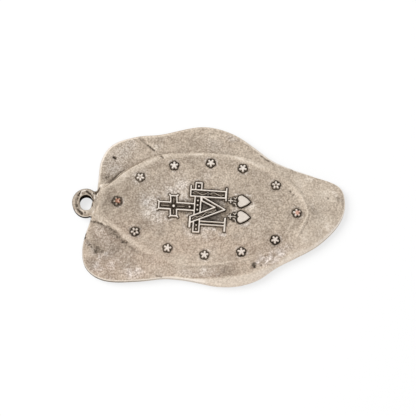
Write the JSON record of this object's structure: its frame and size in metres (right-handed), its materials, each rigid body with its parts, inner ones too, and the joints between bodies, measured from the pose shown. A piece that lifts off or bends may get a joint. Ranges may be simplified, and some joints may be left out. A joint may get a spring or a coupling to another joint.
{
  "type": "religious medal",
  "caption": "Cast devotional medal with an irregular leaf-like outline, an oval rim round stars, a letter with bar and cross, and hearts, and a loop with a round hole to hang it by.",
  "frame": {"origin": "middle of the hanging loop's hole, on its axis, halfway between the medal's lying side and the top of the loop to within 0.05 mm", "axes": "+X from the hanging loop along the medal's length to its foot, +Y across the medal, +Z out of the shown side, along the hole's axis"},
  "size_m": [0.0463, 0.0282, 0.0021],
  "materials": {
    "medal": "satin"
  },
  "bodies": {
    "root": {"medal": "medal"}
  },
  "joints": []
}
